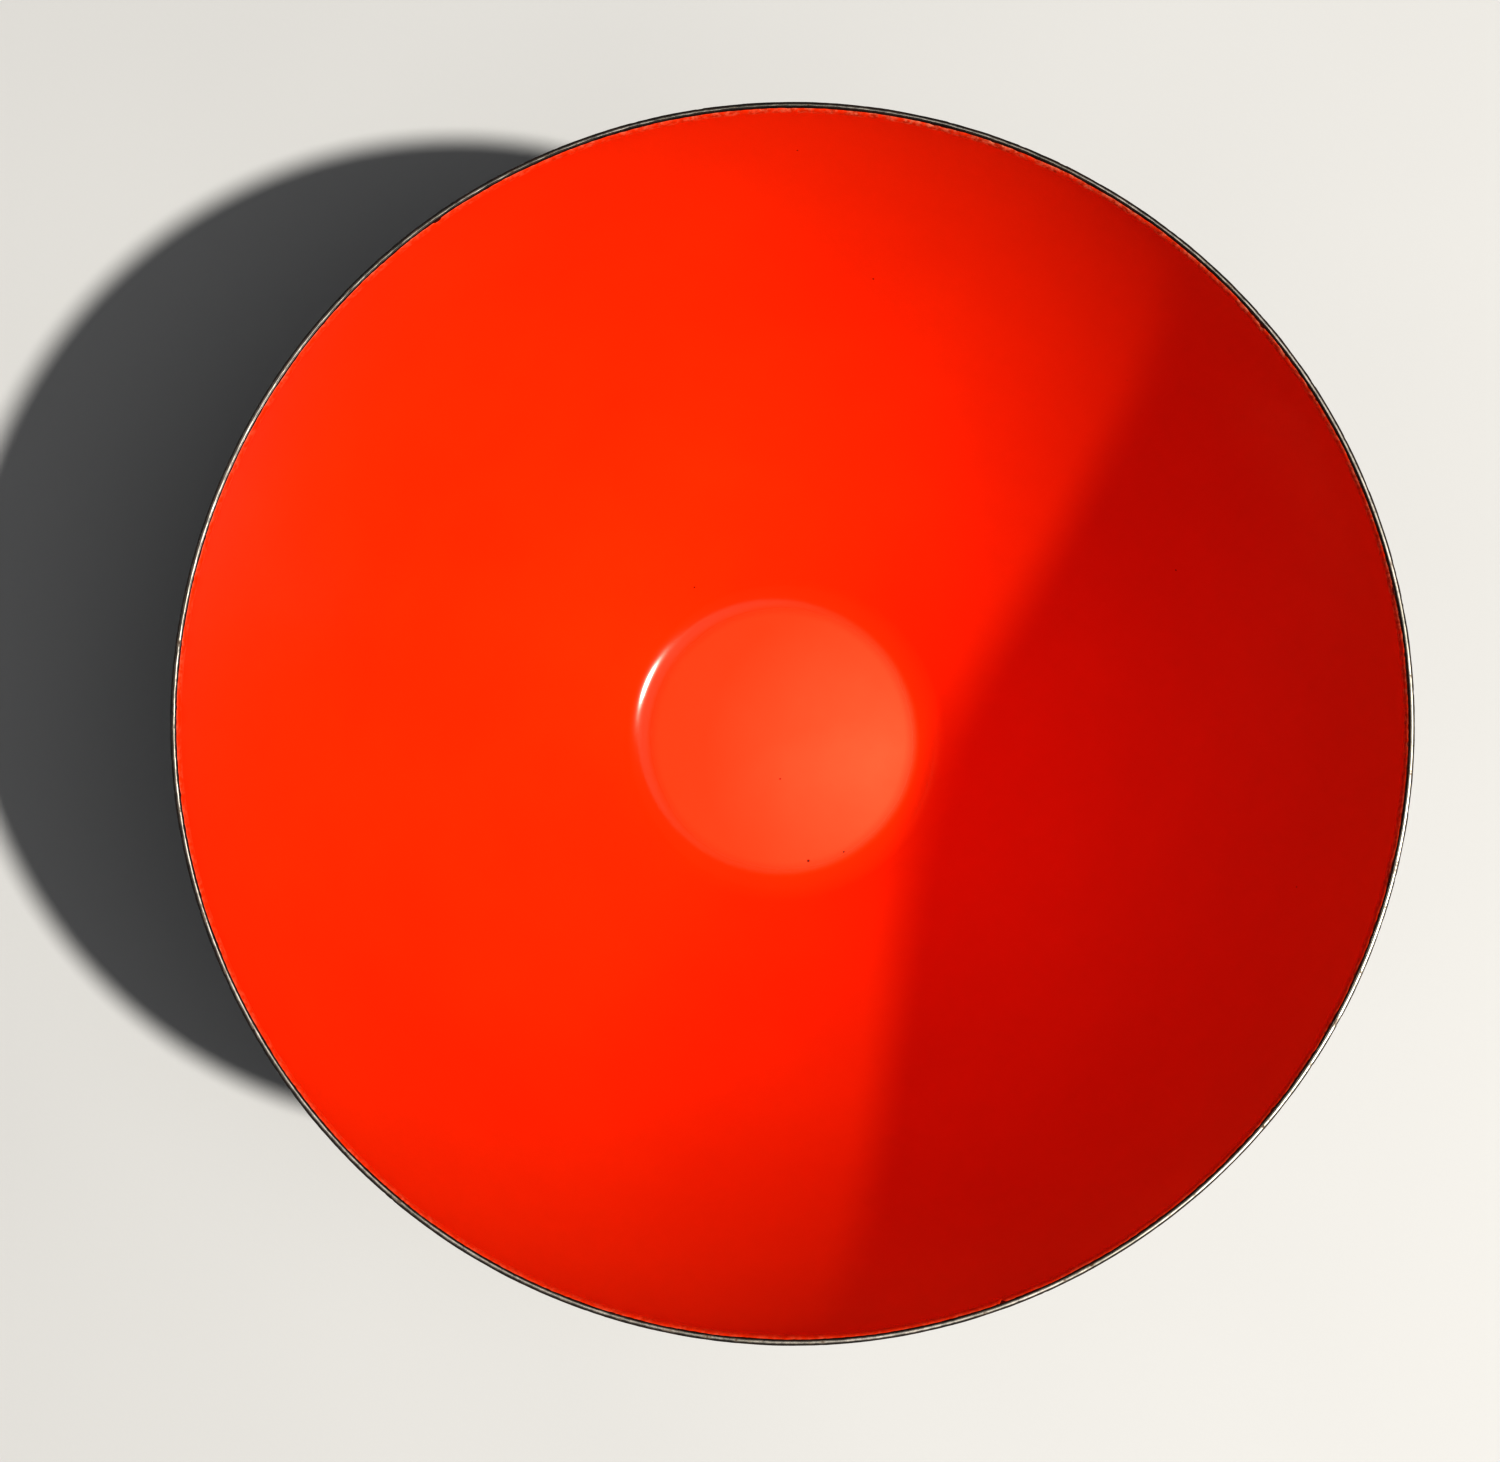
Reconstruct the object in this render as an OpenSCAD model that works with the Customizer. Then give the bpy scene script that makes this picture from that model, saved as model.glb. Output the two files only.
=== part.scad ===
// Enamelled steel bowl: a thin pressed shell under four fired coats.
// The bowl stands on its flat foot.
// Its axis is along +Z and the origin is at the foot's centre.

/* [Bowl] */
// Diameter across the lip
rim_d = 250; // [220:1:280]
// Height from the foot to the top of the lip
height = 140; // [120:1:160]
// Diameter of the flat foot, and of the flat floor inside
foot_d = 68; // [56:1:90]
// Inner radius of the bend between the floor and the wall
bend_r = 12.5; // [6:0.5:20]
// Radius of the wall's outer curve, from the bend to the lip
wall_r = 246; // [230:1:400]

/* [Layers] */
// Thickness of the pressed steel
steel_t = 0.9; // [0.7:0.05:1.2]
// Thickness of the dark ground coat on each side of the steel
ground_t = 0.1; // [0.08:0.01:0.2]
// Thickness of the red cover coat inside the bowl
inner_cover_t = 0.22; // [0.15:0.01:0.4]
// Thickness of the black cover coat outside
outer_cover_t = 0.18; // [0.15:0.01:0.4]

/* [Lip] */
// How far the ground coats end below the bare steel edge
ground_drop = 0.2; // [0.1:0.05:0.6]
// How far the black cover coat ends below the bare steel edge
outer_cover_drop = 0.35; // [0.1:0.05:0.8]
// How far the red cover coat ends below the bare steel edge
inner_cover_drop = 0.4; // [0.2:0.05:1.5]

/* [Hidden] */
$fn = 180;

// Depth of each layer's two faces below the bowl's outer surface
outer_ground_depth = outer_cover_t;
steel_depth = outer_ground_depth + ground_t;
inner_ground_depth = steel_depth + steel_t;
inner_cover_depth = inner_ground_depth + ground_t;
wall_t = inner_cover_depth + inner_cover_t;

// Centre of the bend, which begins level at the edge of the foot
outer_bend_r = bend_r + wall_t;
bend_centre = [foot_d / 2, outer_bend_r];

// How far the wall's curve is set off from being tangent to the bend.
// Curves that only touch can't be cut cleanly.
// These two cross at under 2 degrees, a crease too slight to see.
set_off = 0.005;

// Centre of the wall's curve, which passes through the lip and runs into the bend
lip = [rim_d / 2, height];
chord = bend_centre - lip;
chord_l = norm(chord);
chord_dir = chord / chord_l;
centres_l = wall_r - outer_bend_r + set_off;
along = (wall_r ^ 2 - centres_l ^ 2 + chord_l ^ 2) / (2 * chord_l);
across = sqrt(wall_r ^ 2 - along ^ 2);
wall_centre = lip + along * chord_dir + across * [chord_dir[1], -chord_dir[0]];

// Direction from the bend's centre in which the bend ends and the wall begins
meet = bend_centre - wall_centre;
meet_angle = atan2(meet[1], meet[0]);

// A length beyond the bowl's whole profile
span = 2 * (rim_d + height);

// The half plane on the left of a direction from the bend's centre
module left_of(angle) {
  translate(bend_centre)
    rotate(angle)
      translate([-span, 0])
        square([2 * span, span]);
}

// All that lies within the surface at a depth under the bowl's outer surface, as a half profile.
// It is what lies above the floor, or within the bend, or within the wall.
module within(depth) {
  translate([0, depth]) square([foot_d / 2, span]);
  intersection() {
    translate(bend_centre) circle(r = outer_bend_r - depth);
    left_of(-90);
  }
  intersection() {
    translate(wall_centre) circle(r = wall_r - depth);
    left_of(meet_angle);
  }
}

// One layer of the bowl, cut off level at its top
module layer(depth, thickness, top) {
  rotate_extrude()
    difference() {
      intersection() {
        within(depth);
        square([span, top]);
      }
      within(depth + thickness);
    }
}

// Pressed steel, bare along the edge of the lip
module steel_shell() {
  color("silver")
    layer(steel_depth, steel_t, height);
}

// Dark ground coat fired on the inside of the steel
module inner_ground_coat() {
  color([0.07, 0.06, 0.06])
    layer(inner_ground_depth, ground_t, height - ground_drop);
}

// Dark ground coat fired on the outside of the steel
module outer_ground_coat() {
  color([0.1, 0.1, 0.1])
    layer(outer_ground_depth, ground_t, height - ground_drop);
}

// Orange-red enamel over the inner ground coat
module inner_cover_coat() {
  color([0.93, 0.13, 0.02])
    layer(inner_cover_depth, inner_cover_t, height - inner_cover_drop);
}

// Black enamel over the outer ground coat, and under the foot
module outer_cover_coat() {
  color([0.03, 0.03, 0.03])
    layer(0, outer_cover_t, height - outer_cover_drop);
}

steel_shell();
inner_ground_coat();
outer_ground_coat();
inner_cover_coat();
outer_cover_coat();
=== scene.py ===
"""Looks for an enamelled steel bowl: five nested layers with a worn lip, in soft studio light.

The bowl is a body of revolution about +Z. Every layer is given by its depth under the bowl's
outer surface, so that the layers nest. Each is built as one closed mesh of rings, which run from
the axis along one side, over its edge at the lip and back along the other side.
"""
import math
import random

import bpy
import numpy as np
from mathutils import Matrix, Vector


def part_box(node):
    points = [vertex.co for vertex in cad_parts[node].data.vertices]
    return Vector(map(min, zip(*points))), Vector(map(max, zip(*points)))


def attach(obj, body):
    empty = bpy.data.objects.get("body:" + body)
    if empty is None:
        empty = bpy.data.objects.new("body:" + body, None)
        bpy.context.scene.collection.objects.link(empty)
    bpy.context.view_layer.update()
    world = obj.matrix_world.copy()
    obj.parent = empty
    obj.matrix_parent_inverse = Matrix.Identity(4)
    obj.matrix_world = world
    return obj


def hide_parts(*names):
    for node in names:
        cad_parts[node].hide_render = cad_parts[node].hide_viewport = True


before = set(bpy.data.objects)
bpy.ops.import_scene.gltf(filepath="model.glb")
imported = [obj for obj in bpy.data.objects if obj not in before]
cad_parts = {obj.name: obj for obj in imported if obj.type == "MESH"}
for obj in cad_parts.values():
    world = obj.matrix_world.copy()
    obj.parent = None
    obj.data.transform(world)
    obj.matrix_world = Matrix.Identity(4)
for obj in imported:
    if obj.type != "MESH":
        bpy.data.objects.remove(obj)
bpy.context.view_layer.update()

MM = 0.001
TURN = 2 * math.pi

# The bowl's driving dimensions, the same as the CAD model's
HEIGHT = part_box("steel_shell")[1][2]
RIM_R = 125 * MM
FOOT_R = 34 * MM
BEND_R = 12.5 * MM
WALL_R = 246 * MM
STEEL_T = 0.9 * MM
GROUND_T = 0.1 * MM
RED_T = 0.22 * MM
BLACK_T = 0.18 * MM

# Depth of each boundary between layers under the outer surface
OUTER_GROUND = BLACK_T
STEEL_OUT = OUTER_GROUND + GROUND_T
STEEL_IN = STEEL_OUT + STEEL_T
INNER_GROUND = STEEL_IN + GROUND_T
WALL_T = INNER_GROUND + RED_T
STEEL_MID = (STEEL_OUT + STEEL_IN) / 2

# How far the cover coats' edges lie below the top of the steel
RED_DROP = 0.4 * MM
BLACK_DROP = 0.35 * MM

# The steel's edge is rounded over this height, and the ground coats curl over it
CROWN_RISE = 0.28 * MM
CROWN_STEPS = 12

# The curl over the edge, in radians: its mean, how much it changes round the bowl, and the azimuth
# in degrees at which it is greatest
CURL_INSIDE = (0.95, 0.25, 70)
CURL_OUTSIDE = (1.05, 0.22, 110)

# Columns of vertices round the bowl: few on hidden sides, and most at the lip
COARSE, MEDIUM, FINE, FINEST = 288, 576, 1152, 2304

# Steps along the bend and along the wall, on a layer's face and on its hidden side
BEND_FACE, BEND_HIDDEN = 14, 6
WALL_FACE, WALL_HIDDEN = 56, 24

# The height below the lip in which the rings are set one by one
LIP_ZONE = 12 * MM

# Azimuth from +X and elevation of the key light, in degrees
SUN_AZIMUTH, SUN_ELEVATION = -18.4, 58.1

FLOOR_HALF_WIDTH = 40.0


def curve_centres():
    """The centres of the bend and of the wall's curve, and the angle at which they meet."""
    outer_bend = BEND_R + WALL_T
    bend = np.array([FOOT_R, outer_bend])
    chord = bend - np.array([RIM_R, HEIGHT])
    length = np.linalg.norm(chord)
    along = (WALL_R**2 - (WALL_R - outer_bend) ** 2 + length**2) / (2 * length)
    across = math.sqrt(WALL_R**2 - along**2)
    unit = chord / length
    wall = np.array([RIM_R, HEIGHT]) + along * unit + across * np.array([unit[1], -unit[0]])
    meet = bend - wall
    return bend, wall, math.atan2(meet[0], -meet[1])


BEND_C, WALL_C, MEET = curve_centres()


# --- Shapes that vary round the bowl ---

def ripple(turn, wavelength, seed, modes=9):
    """A smooth closed wave round the lip with waves of about one length, mostly within -1 to 1."""
    draw = random.Random(seed)
    base = TURN * RIM_R / wavelength
    total = np.zeros_like(turn)
    for _ in range(modes):
        count = max(2, round(base * draw.uniform(0.6, 1.5)))
        total += math.sqrt(2 / modes) * np.sin(count * turn + draw.uniform(0, TURN))
    return total / 1.6


def notches(turn, places):
    """Depth of rounded notches in an edge; each place is (angle in degrees, width, depth)."""
    total = np.zeros_like(turn)
    for angle, width, depth in places:
        gap = (turn - math.radians(angle) + math.pi) % TURN - math.pi
        inside = 1 - (gap * RIM_R / (width / 2)) ** 2
        total = np.maximum(total, depth * np.clip(inside, 0, 1) ** 0.6)
    return total


def nicks(count, seed, widths, depths):
    """Small random notches, as (angle in degrees, width, depth)."""
    draw = random.Random(seed)
    return [(draw.uniform(0, 360), draw.uniform(*widths), draw.uniform(*depths)) for _ in range(count)]


# Chips as (angle in degrees, width, depth): the larger ones listed, the rest at random
RED_CHIPS = [(125.5, 1.9 * MM, 0.6 * MM), (289.7, 0.9 * MM, 0.9 * MM), (39.9, 1.5 * MM, 0.45 * MM)]
RED_CHIPS += [(187.1, 1.1 * MM, 0.35 * MM), (253.1, 1.4 * MM, 0.3 * MM), (12.0, 1.6 * MM, 0.35 * MM)]
RED_CHIPS += nicks(70, 11, (0.4 * MM, 1.2 * MM), (0.05 * MM, 0.22 * MM))
BLACK_CHIPS = [(331.0, 1.8 * MM, 0.8 * MM), (64.0, 1.4 * MM, 0.5 * MM), (205.0, 2.2 * MM, 0.7 * MM)]
BLACK_CHIPS += nicks(40, 12, (0.6 * MM, 1.6 * MM), (0.06 * MM, 0.25 * MM))


def red_edge(turn):
    """How far the red coat's edge lies below the lip."""
    slow, quick = 0.08 * ripple(turn, 14 * MM, 1), 0.05 * ripple(turn, 3.2 * MM, 2)
    fine = 0.02 * ripple(turn, 1.1 * MM, 8)
    return RED_DROP + (slow + quick + fine) * MM + notches(turn, RED_CHIPS)


def black_edge(turn):
    """How far the black cover coat's edge lies below the lip."""
    wave = 0.04 * ripple(turn, 11 * MM, 3) + 0.02 * ripple(turn, 3 * MM, 4)
    return BLACK_DROP + wave * MM + notches(turn, BLACK_CHIPS)


def waver(turn, z):
    """The slight unevenness of the pressed wall, from 0 at the foot, as added depth."""
    grow = np.clip((z - 20 * MM) / (60 * MM), 0, 1)
    slow = np.sin(3 * turn + 0.8 + z / (40 * MM)) + np.sin(7 * turn - z / (26 * MM))
    quick = np.sin(12 * turn + 2.1 + z / (17 * MM)) + np.sin(19 * turn + 0.4 - z / (12 * MM))
    return grow * (0.035 * (2 + slow) + 0.006 * (2 + quick)) * MM


# --- Rings and meshes ---

def spread(value, turn):
    """A number, or what a function of the angle gives, as one number for each column."""
    return value(turn) if callable(value) else np.full_like(turn, value)


def ring(columns, r, z):
    """A level ring of points round the axis."""
    turn = np.arange(columns) * (TURN / columns)
    return np.column_stack([r * np.cos(turn), r * np.sin(turn), z * np.ones(columns)])


def wall_ring(columns, drop, depth):
    """A ring on the wall, a drop below the lip and a depth under the outer surface."""
    turn = np.arange(columns) * (TURN / columns)
    z = HEIGHT - spread(drop, turn)
    reach = WALL_R - spread(depth, turn) - waver(turn, z)
    r = WALL_C[0] + np.sqrt(reach**2 - (WALL_C[1] - z) ** 2)
    return np.column_stack([r * np.cos(turn), r * np.sin(turn), z])


def bend_rings(depth, count):
    """The rings between the two ends of the bend, which rises from the floor to the wall."""
    rings = []
    for i in range(1, count):
        angle, reach = MEET * i / count, BEND_R + WALL_T - depth
        r, z = BEND_C[0] + reach * math.sin(angle), BEND_C[1] - reach * math.cos(angle)
        rings.append(ring(COARSE, r, z))
    return rings


# Columns and radius in millimetres of each ring on the floor
FLOOR_RINGS = [(18, 2.5), (18, 4), (36, 6), (36, 8), (72, 11), (72, 14), (72, 17)]
FLOOR_RINGS += [(144, 20), (144, 24), (144, 28), (COARSE, 31.5), (COARSE, 34)]


def floor_rings(depth):
    """The rings of the flat floor, from near the axis to the start of the bend."""
    return [ring(columns, r * MM, depth) for columns, r in FLOOR_RINGS]


def body_rings(depth, columns, bend_steps, wall_steps):
    """The rings of a surface from the axis over the floor and the bend, and up the wall."""
    start = HEIGHT - (WALL_C[1] - (WALL_R - depth) * math.cos(MEET))
    drops = [start + (LIP_ZONE - start) * i / wall_steps for i in range(wall_steps + 1)]
    wall = [wall_ring(columns, drop, depth) for drop in drops]
    return floor_rings(depth) + bend_rings(depth, bend_steps) + wall


def face_rings(depth, edge, thickness, steps):
    """The visible side of a coat from the axis to its edge.

    thickness(t, turn) is the depth added at a distance t below the edge.
    """
    rings = body_rings(depth, MEDIUM, BEND_FACE, WALL_FACE)
    for columns, t in reversed(steps):
        follow = max(0, 1 - t / (9 * MM))
        rings.append(wall_ring(
            columns,
            lambda turn, t=t, follow=follow: t + follow * edge(turn),
            lambda turn, t=t: depth + thickness(t, turn),
        ))
    return rings


def hidden_rings(depth, edge):
    """The side of a layer that lies on its neighbour, from the axis to its edge, with few rings."""
    rings = body_rings(depth, COARSE, BEND_HIDDEN, WALL_HIDDEN)
    rings.append(wall_ring(MEDIUM, 8 * MM, depth))
    rings.append(wall_ring(FINE, 5 * MM, depth))
    rings.append(wall_ring(FINEST, lambda turn: edge(turn) + 0.5 * MM, depth))
    return rings


def bridge(faces, a, na, b, nb):
    """Joins ring a of na columns to ring b of nb; the counts are equal or one is twice the other."""
    if na == nb:
        faces += [(a + i, a + (i + 1) % na, b + (i + 1) % nb, b + i) for i in range(na)]
    elif nb == 2 * na:
        for i in range(na):
            p, q = a + i, a + (i + 1) % na
            u, v, w = b + 2 * i, b + 2 * i + 1, b + (2 * i + 2) % nb
            faces += [(p, v, u), (p, q, v), (q, w, v)]
    else:
        for i in range(nb):
            p, q = b + i, b + (i + 1) % nb
            u, v, w = a + 2 * i, a + 2 * i + 1, a + (2 * i + 2) % na
            faces += [(u, v, p), (v, q, p), (v, w, q)]


def solid(name, rings):
    """One closed mesh through the rings, whose first and last lie round the axis."""
    points = [np.array([[0, 0, rings[0][0][2]]])] + rings + [np.array([[0, 0, rings[-1][0][2]]])]
    starts = np.cumsum([0] + [len(p) for p in points])
    faces = []
    first, last = starts[1], starts[-2] - len(rings[-1])
    n0, n1 = len(rings[0]), len(rings[-1])
    faces += [(0, first + (i + 1) % n0, first + i) for i in range(n0)]
    for i in range(1, len(rings)):
        bridge(faces, int(starts[i]), len(rings[i - 1]), int(starts[i + 1]), len(rings[i]))
    tip = int(starts[-2])
    faces += [(tip, last + i, last + (i + 1) % n1) for i in range(n1)]
    mesh = bpy.data.meshes.new(name)
    mesh.from_pydata(np.vstack(points).tolist(), [], [tuple(int(v) for v in f) for f in faces])
    mesh.validate()
    mesh.shade_smooth()
    piece = bpy.data.objects.new(name, mesh)
    bpy.context.scene.collection.objects.link(piece)
    return piece


# --- The five layers ---

def crown(growth, angle):
    """(drop, depth) of a point on the steel's rounded top, moved outwards by growth.

    The angle runs from 0 on the outer side to pi on the inner side.
    """
    drop = CROWN_RISE - (CROWN_RISE + growth) * np.sin(angle)
    return drop, STEEL_MID - (STEEL_T / 2 + growth) * np.cos(angle)


def crown_edge(turn):
    """Where the steel's rounded top begins."""
    return np.full_like(turn, CROWN_RISE)


def steel():
    """The pressed steel, ground a little unevenly along its edge."""
    def ground_away(turn):
        return (0.035 + 0.012 * ripple(turn, 9 * MM, 5)) * MM

    rings = hidden_rings(STEEL_OUT, crown_edge)
    for i in range(CROWN_STEPS + 1):
        angle = math.pi * i / CROWN_STEPS
        drop, depth = crown(0, angle)
        share = math.sin(angle)
        rings.append(wall_ring(
            FINEST,
            lambda turn, drop=drop, share=share: drop + share * ground_away(turn),
            depth,
        ))
    rings += hidden_rings(STEEL_IN, crown_edge)[::-1]
    return solid("steel_body", rings)


def ground_coat(name, back, inside, seed):
    """The dark coat on one side of the steel, curled over its rounded top."""
    face = back + (GROUND_T if inside else -GROUND_T)
    mean, change, azimuth = CURL_INSIDE if inside else CURL_OUTSIDE

    def curl(turn):
        wear = change * np.cos(turn - math.radians(azimuth))
        wave = 0.06 * ripple(turn, 6 * MM, seed) + 0.03 * ripple(turn, 2.2 * MM, seed + 1)
        return mean + wear + wave

    def over(share, lift):
        """A ring at a share of the curl, on the steel at lift 0 and on the coat's face at lift 1."""
        growth = lift * GROUND_T * math.sqrt(1 - share**2)

        def angle(turn):
            return math.pi - share * curl(turn) if inside else share * curl(turn)

        return wall_ring(
            FINEST,
            lambda turn: np.maximum(crown(growth, angle(turn))[0] + 0.02 * MM, 0.004 * MM),
            lambda turn: crown(growth, angle(turn))[1],
        )

    rings = hidden_rings(back, crown_edge)
    rings += [over(share / 5, 0) for share in range(6)]
    rings += [over(share, 1) for share in (0.97, 0.9, 0.75, 0.5, 0.25, 0)]
    rings += hidden_rings(face, crown_edge)[::-1]
    return solid(name, rings if inside else rings[::-1])


# Columns and distance below its edge of each ring on a cover coat's face
RED_LIP = (0.01, 0.03, 0.07, 0.13, 0.22, 0.34, 0.5, 0.7, 0.95, 1.3, 1.8, 2.4)
RED_STEPS = [(FINEST, t * MM) for t in RED_LIP]
RED_STEPS += [(FINE, t * MM) for t in (3.1, 4.0, 5.2, 6.6, 8.5)]
BLACK_LIP = (0.015, 0.04, 0.08, 0.14, 0.24, 0.4, 0.7, 1.1, 1.7)
BLACK_STEPS = [(FINEST, t * MM) for t in BLACK_LIP]
BLACK_STEPS += [(FINE, t * MM) for t in (2.6, 3.8, 5.5, 8.0)]


def rounded(t, length):
    """What a coat of thickness 1 lacks at a distance t below its rounded edge, from -1 to 0."""
    return math.sqrt(1 - (1 - min(t / length, 1)) ** 2) - 1


def red_coat():
    """The red coat thins to a rounded edge, with a soft bead below it."""
    def thickness(t, turn):
        near = t / (1.1 * MM)
        bead = (0.13 + 0.03 * ripple(turn, 7 * MM, 6)) * MM * near * math.exp(1 - near)
        fade = math.exp(-t / (2 * MM)) * min(near, 1)
        sag = 0.012 * MM * ripple(turn, 4.5 * MM, 7) * fade
        return RED_T * rounded(t, 0.8 * MM) + bead + sag

    rings = hidden_rings(INNER_GROUND, red_edge)
    rings.append(wall_ring(FINEST, red_edge, INNER_GROUND))
    rings += face_rings(WALL_T, red_edge, thickness, RED_STEPS)[::-1]
    return solid("red_coat", rings)


def black_coat():
    """The black cover coat outside and under the foot."""
    def thickness(t, turn):
        return np.full_like(turn, -BLACK_T * rounded(t, 0.2 * MM))

    rings = hidden_rings(OUTER_GROUND, black_edge)
    rings.append(wall_ring(FINEST, black_edge, OUTER_GROUND))
    rings += face_rings(0, black_edge, thickness, BLACK_STEPS)[::-1]
    return solid("black_coat", rings[::-1])


# --- Materials ---

class Paint:
    """A Principled material and short ways to add nodes to it."""

    def __init__(self, name, color, roughness, metallic=0.0):
        self.material = bpy.data.materials.new(name)
        self.material.use_nodes = True
        self.tree = self.material.node_tree
        self.shader = self.tree.nodes["Principled BSDF"]
        self.shader.inputs["Base Color"].default_value = (*color, 1)
        self.shader.inputs["Roughness"].default_value = roughness
        self.shader.inputs["Metallic"].default_value = metallic
        self.place = self.tree.nodes.new("ShaderNodeTexCoord").outputs["Object"]

    def put(self, socket, value):
        if isinstance(value, bpy.types.NodeSocket):
            self.tree.links.new(value, socket)
        else:
            socket.default_value = value

    def noise(self, scale, detail=3.0, roughness=0.55):
        node = self.tree.nodes.new("ShaderNodeTexNoise")
        self.put(node.inputs["Vector"], self.place)
        node.inputs["Scale"].default_value = scale
        node.inputs["Detail"].default_value = detail
        node.inputs["Roughness"].default_value = roughness
        return node.outputs["Fac"]

    def spots(self, scale):
        """Distance to the nearest of scattered points."""
        node = self.tree.nodes.new("ShaderNodeTexVoronoi")
        self.put(node.inputs["Vector"], self.place)
        node.inputs["Scale"].default_value = scale
        return node.outputs["Distance"]

    def remap(self, value, low, high, to_low=0.0, to_high=1.0):
        node = self.tree.nodes.new("ShaderNodeMapRange")
        self.put(node.inputs["Value"], value)
        limits = {"From Min": low, "From Max": high, "To Min": to_low, "To Max": to_high}
        for socket, number in limits.items():
            node.inputs[socket].default_value = number
        return node.outputs["Result"]

    def math(self, operation, a, b=0.5):
        node = self.tree.nodes.new("ShaderNodeMath")
        node.operation = operation
        self.put(node.inputs[0], a)
        self.put(node.inputs[1], b)
        return node.outputs["Value"]

    def mix(self, factor, a, b):
        node = self.tree.nodes.new("ShaderNodeMix")
        node.data_type = "RGBA"
        self.put(node.inputs["Factor"], factor)
        self.put(node.inputs["A"], a if isinstance(a, bpy.types.NodeSocket) else (*a, 1))
        self.put(node.inputs["B"], b if isinstance(b, bpy.types.NodeSocket) else (*b, 1))
        return node.outputs["Result"]

    def axis(self, name):
        node = self.tree.nodes.new("ShaderNodeSeparateXYZ")
        self.put(node.inputs["Vector"], self.place)
        return node.outputs[name]

    def radius(self):
        """Distance from the bowl's axis."""
        squares = [self.math("MULTIPLY", self.axis(a), self.axis(a)) for a in "XY"]
        return self.math("SQRT", self.math("ADD", *squares))

    def distance(self, point):
        """Distance from a point."""
        node = self.tree.nodes.new("ShaderNodeVectorMath")
        node.operation = "DISTANCE"
        self.put(node.inputs[0], self.place)
        node.inputs[1].default_value = point
        return node.outputs["Value"]

    def bump(self, height, distance, strength=1.0, below=None):
        node = self.tree.nodes.new("ShaderNodeBump")
        self.put(node.inputs["Height"], height)
        node.inputs["Distance"].default_value = distance
        node.inputs["Strength"].default_value = strength
        if below is not None:
            self.put(node.inputs["Normal"], below)
        return node.outputs["Normal"]

    def wear(self, color=None, roughness=None, normal=None, metallic=None):
        """Links what varies over the surface to the shader."""
        pairs = {"Base Color": color, "Roughness": roughness, "Normal": normal, "Metallic": metallic}
        for name, value in pairs.items():
            if value is not None:
                self.put(self.shader.inputs[name], value)
        return self.material


# X, Y and width of each pit on the flat floor, in millimetres
FLOOR_PITS = [(6.9, -31.6, 0.5), (16.1, -29.3, 0.35), (-0.4, -10.4, 0.3)]


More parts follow.
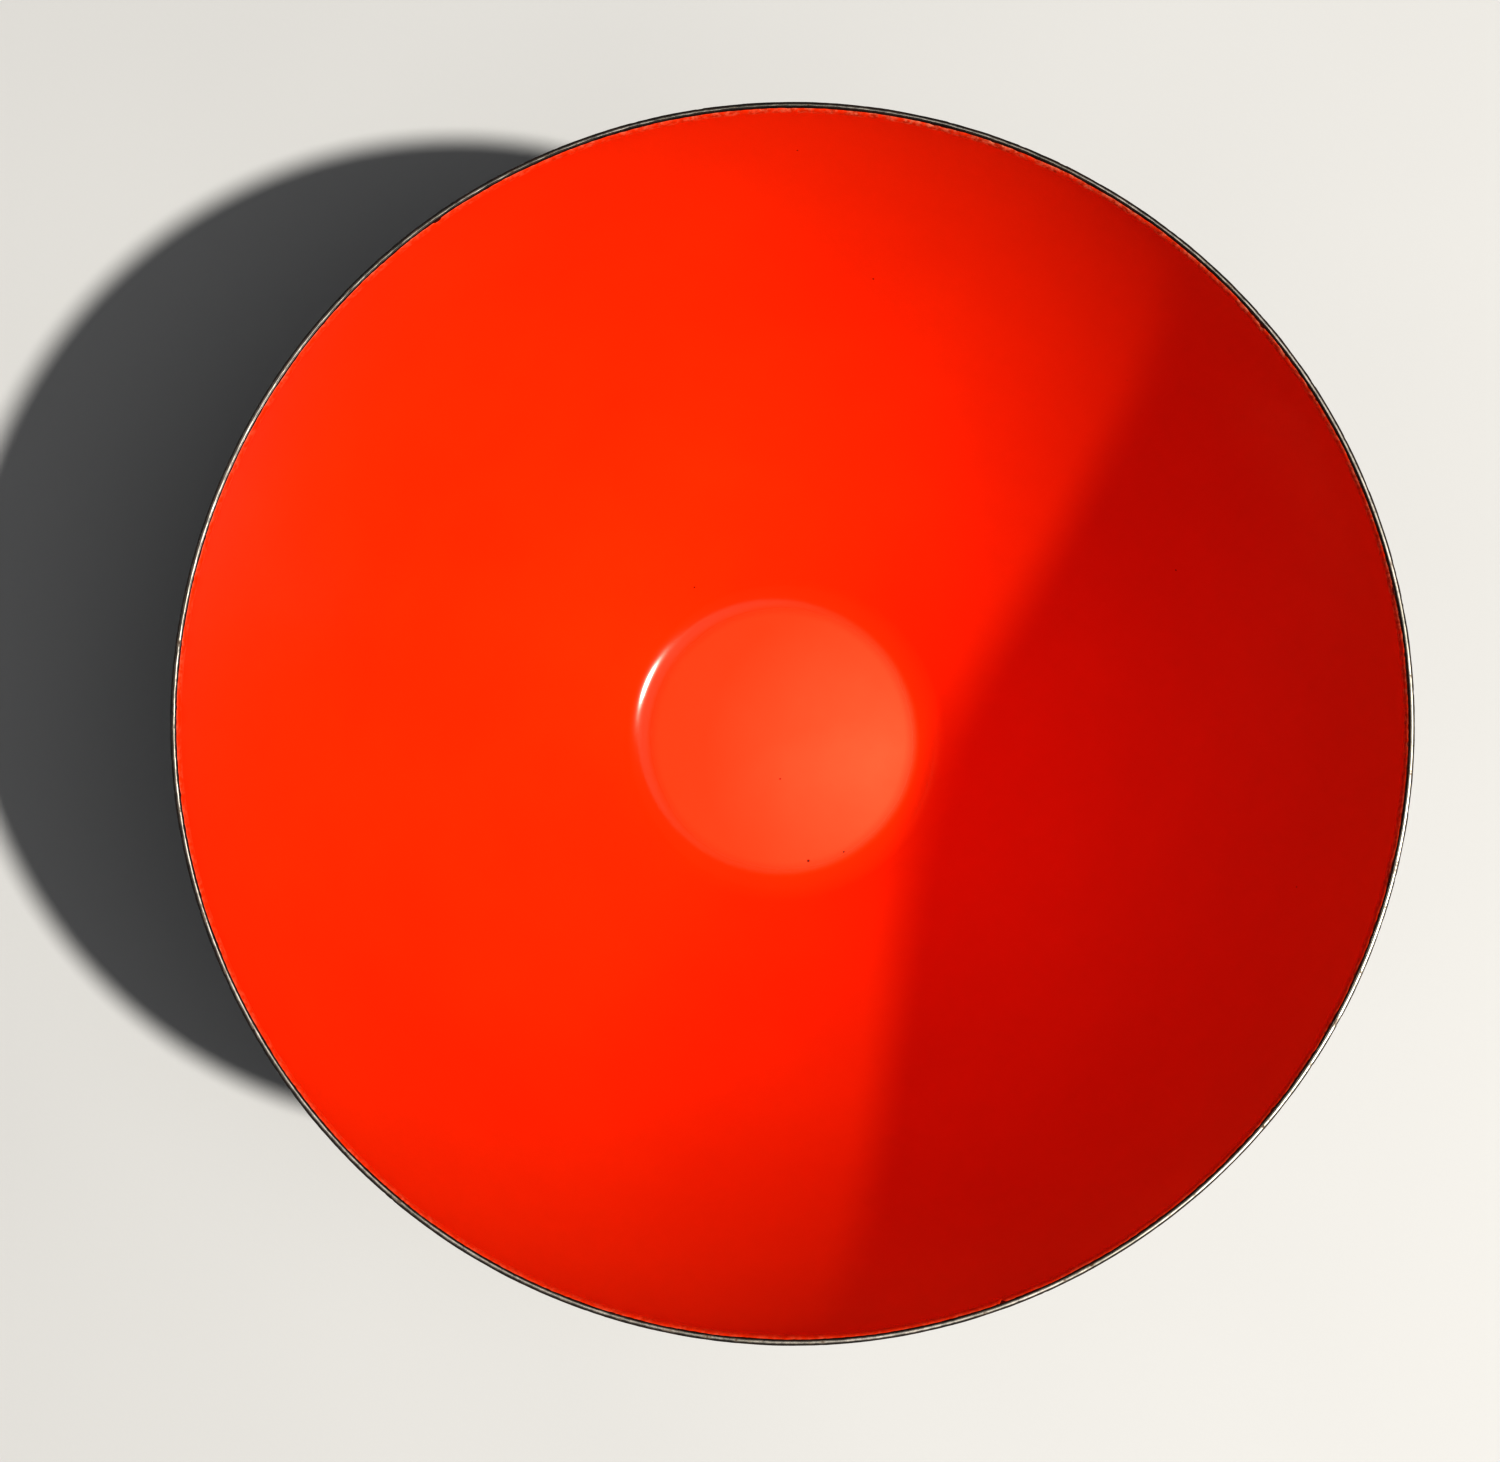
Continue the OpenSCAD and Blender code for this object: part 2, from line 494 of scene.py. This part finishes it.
def red_enamel():
    paint = Paint("red_enamel", (0.84, 0.045, 0.001), 0.1)
    paint.shader.inputs["Specular IOR Level"].default_value = 0.36
    cloud = paint.remap(paint.noise(14, 4), 0.3, 0.7)
    color = paint.mix(cloud, (0.81, 0.044, 0.0004), (0.88, 0.055, 0.0006))
    # The coat is thin along its edge, where a paler, mottled tone shows. It is strongest on one
    # stretch, where the paler tone is painted light standing for light caught by the tapered edge
    lip = paint.remap(paint.axis("Z"), HEIGHT - 1.9 * MM, HEIGHT - 1.3 * MM)
    # Painted light: the paler edge tone is made strongest round this point on the lip
    painted_light_stretch = paint.remap(paint.distance((88 * MM, 88 * MM, HEIGHT)), 70 * MM, 150 * MM, 1.0, 0.35)
    ragged = paint.remap(paint.noise(420, 4, 0.7), 0.36, 0.56)
    mottle = paint.remap(paint.noise(1100, 3, 0.6), 0.42, 0.60)
    thin_edge_and_painted_light = paint.math("MULTIPLY", lip, paint.math("MULTIPLY", painted_light_stretch, ragged))
    color = paint.mix(thin_edge_and_painted_light, color, paint.mix(mottle, (0.50, 0.05, 0.012), (0.78, 0.22, 0.13)))
    # The floor is painted paler than the wall as a painted reflection of light from above, and palest
    # on its right, where a broad painted highlight lies
    painted_reflection_floor = paint.remap(paint.radius(), 32 * MM, 36 * MM, 1.0, 0.0)
    # Painted highlight: the floor is made paler towards this point on its right
    painted_highlight_right = paint.remap(paint.distance((22 * MM, -5 * MM, WALL_T)), 4 * MM, 42 * MM, 1.0, 0.0)
    patchy = paint.remap(paint.noise(55, 4, 0.6), 0.25, 0.7, 0.7, 1.0)
    painted_highlight_patchy = paint.math("MULTIPLY", painted_highlight_right, patchy)
    color = paint.mix(painted_reflection_floor, color, paint.mix(painted_highlight_patchy, (0.86, 0.066, 0.001), (0.92, 0.135, 0.042)))
    # Pits: rare ones at random, and those listed, on the floor
    specks = paint.remap(paint.spots(150), 0.035, 0.05, 1.0, 0.0)
    rare = paint.remap(paint.noise(60, 2), 0.64, 0.66)
    pits = paint.math("MULTIPLY", specks, rare)
    for x, y, size in FLOOR_PITS:
        away = paint.distance((x * MM, y * MM, WALL_T))
        pit = paint.remap(away, 0.5 * size * MM, 0.8 * size * MM, 1.0, 0.0)
        pits = paint.math("MAXIMUM", pits, pit)
    color = paint.mix(pits, color, (0.16, 0.012, 0.003))
    # The bowl is glossiest round the bend; use has dulled the floor most, and the wall somewhat
    floor = paint.remap(paint.radius(), 32 * MM, 36 * MM, 0.24, 0.0)
    bend = paint.remap(paint.radius(), 40 * MM, 60 * MM, 0.07, 0.0)
    floor = paint.math("ADD", floor, bend)
    dull = paint.remap(paint.noise(40, 5, 0.65), 0.35, 0.7, 0.06, 0.11)
    edge = paint.remap(paint.axis("Z"), HEIGHT - 1.9 * MM, HEIGHT - 0.9 * MM, 0.0, 0.2)
    wall = paint.remap(paint.radius(), 46 * MM, 66 * MM, 0.0, 0.16)
    rough = paint.math("ADD", paint.math("ADD", dull, floor), paint.math("ADD", wall, edge))
    peel = paint.bump(paint.noise(420, 2), 0.02 * MM, 0.25)
    fine = paint.bump(paint.noise(1800, 2), 0.004 * MM, 0.35, peel)
    normal = paint.bump(paint.math("SUBTRACT", 1.0, pits), 0.15 * MM, 0.8, fine)
    return paint.wear(color, rough, normal)


def black_enamel():
    paint = Paint("black_enamel", (0.02, 0.02, 0.021), 0.48)
    cloud = paint.remap(paint.noise(22, 5), 0.3, 0.7)
    color = paint.mix(cloud, (0.016, 0.016, 0.017), (0.028, 0.028, 0.029))
    foot = paint.remap(paint.axis("Z"), 0.1 * MM, 1.4 * MM, 1.0, 0.0)
    rim = paint.remap(paint.radius(), 22 * MM, 32.5 * MM, 0.2, 1.0)
    scuff = paint.remap(paint.noise(420, 5, 0.72), 0.42, 0.66)
    worn = paint.math("MULTIPLY", foot, paint.math("MULTIPLY", rim, scuff))
    color = paint.mix(worn, color, (0.075, 0.071, 0.067))
    rough = paint.remap(paint.noise(70, 5, 0.65), 0.3, 0.7, 0.42, 0.62)
    grain = paint.bump(paint.noise(2600, 2), 0.012 * MM, 0.6)
    normal = paint.bump(paint.noise(520, 3), 0.03 * MM, 0.5, grain)
    return paint.wear(color, rough, normal)


def ground_enamel():
    paint = Paint("ground_enamel", (0.016, 0.012, 0.012), 0.28)
    cloud = paint.remap(paint.noise(240, 4), 0.35, 0.65)
    color = paint.mix(cloud, (0.010, 0.008, 0.008), (0.035, 0.018, 0.014))
    rough = paint.remap(paint.noise(400, 3), 0.3, 0.7, 0.2, 0.4)
    return paint.wear(color, rough, paint.bump(paint.noise(1500, 2), 0.01 * MM, 0.6))


def bare_steel():
    paint = Paint("bare_steel", (0.40, 0.375, 0.34), 0.35, metallic=1.0)
    stain = paint.remap(paint.noise(55, 4, 0.6), 0.42, 0.62)
    spot = paint.remap(paint.noise(420, 4, 0.6), 0.56, 0.68)
    oxide = paint.math("MULTIPLY", paint.math("ADD", stain, 0.25), spot)
    color = paint.mix(stain, (0.47, 0.44, 0.41), (0.31, 0.295, 0.26))
    color = paint.mix(oxide, color, (0.11, 0.065, 0.04))
    scratch = paint.remap(paint.noise(700, 3), 0.3, 0.7, 0.26, 0.46)
    rough = paint.math("ADD", scratch, paint.math("MULTIPLY", oxide, 0.3))
    normal = paint.bump(paint.noise(2200, 3), 0.01 * MM, 0.7)
    return paint.wear(color, rough, normal, paint.remap(oxide, 0.0, 1.0, 1.0, 0.3))


def floor_paper():
    paint = Paint("floor_paper", (0.66, 0.675, 0.70), 0.7)
    cloud = paint.remap(paint.noise(3, 3), 0.3, 0.7)
    color = paint.mix(cloud, (0.64, 0.655, 0.68), (0.68, 0.695, 0.72))
    return paint.wear(color, None, paint.bump(paint.noise(700, 2), 0.05 * MM, 0.2))


# --- Stage, light and camera ---

def make_floor():
    mesh = bpy.data.meshes.new("floor")
    half = FLOOR_HALF_WIDTH
    corners = [(-half, -half, 0), (half, -half, 0), (half, half, 0), (-half, half, 0)]
    mesh.from_pydata(corners, [], [(0, 1, 2, 3)])
    mesh.materials.append(floor_paper())
    floor = bpy.data.objects.new("floor", mesh)
    bpy.context.scene.collection.objects.link(floor)


def towards(azimuth, elevation, distance):
    """A point at a distance from the bowl's foot, at an azimuth from +X and an elevation in degrees."""
    a, e = math.radians(azimuth), math.radians(elevation)
    level = distance * math.cos(e)
    return (level * math.cos(a), level * math.sin(a), distance * math.sin(e))


def softbox(name, azimuth, elevation, distance, size, power, color):
    """A round soft light that faces the bowl's foot; distance and size in metres, power in watts."""
    light = bpy.data.lights.new(name, "AREA")
    light.shape = "DISK"
    light.size = size
    light.energy = power
    light.color = color
    lamp = bpy.data.objects.new(name, light)
    bpy.context.scene.collection.objects.link(lamp)
    a, e = math.radians(azimuth), math.radians(elevation)
    lamp.location = towards(azimuth, elevation, distance)
    lamp.rotation_euler = (0, math.pi / 2 - e, a)


def studio():
    world = bpy.data.worlds.new("studio")
    world.use_nodes = True
    background = world.node_tree.nodes["Background"]
    background.inputs["Color"].default_value = (1.0, 0.99, 0.97, 1)
    background.inputs["Strength"].default_value = 0.075
    bpy.context.scene.world = world
    softbox("key", SUN_AZIMUTH, SUN_ELEVATION, 5.0, 0.22, 218, (1.0, 0.95, 0.86))
    softbox("top", -20.0, 76.0, 1.5, 0.8, 1.7, (1.0, 0.98, 0.95))


def make_camera():
    """Nearly overhead, 0.47 m above the lip, a little off the axis and tilted by about two degrees."""
    camera = bpy.data.cameras.new("camera")
    camera.sensor_width = 36
    camera.lens = 56.17
    camera.clip_start = 0.01
    eye = bpy.data.objects.new("camera", camera)
    bpy.context.scene.collection.objects.link(eye)
    eye.location = (-10.0 * MM, -18.0 * MM, 608.5 * MM)
    eye.rotation_euler = (math.radians(1.89), math.radians(-0.17), 0)
    bpy.context.scene.camera = eye


# --- Assembly ---

def add(piece, node, material):
    """Puts a layer in place of its CAD node."""
    piece.data.materials.append(material)
    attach(piece, "root")
    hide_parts(node)


def main():
    ground = ground_enamel()
    add(steel(), "steel_shell", bare_steel())
    inside = ground_coat("ground_coat_inside", STEEL_IN, True, 21)
    add(inside, "inner_ground_coat", ground)
    outside = ground_coat("ground_coat_outside", STEEL_OUT, False, 31)
    add(outside, "outer_ground_coat", ground)
    add(red_coat(), "inner_cover_coat", red_enamel())
    add(black_coat(), "outer_cover_coat", black_enamel())
    make_floor()
    studio()
    make_camera()
    bpy.context.scene.view_settings.view_transform = "Standard"
    bpy.context.scene.view_settings.look = "High Contrast"


main()
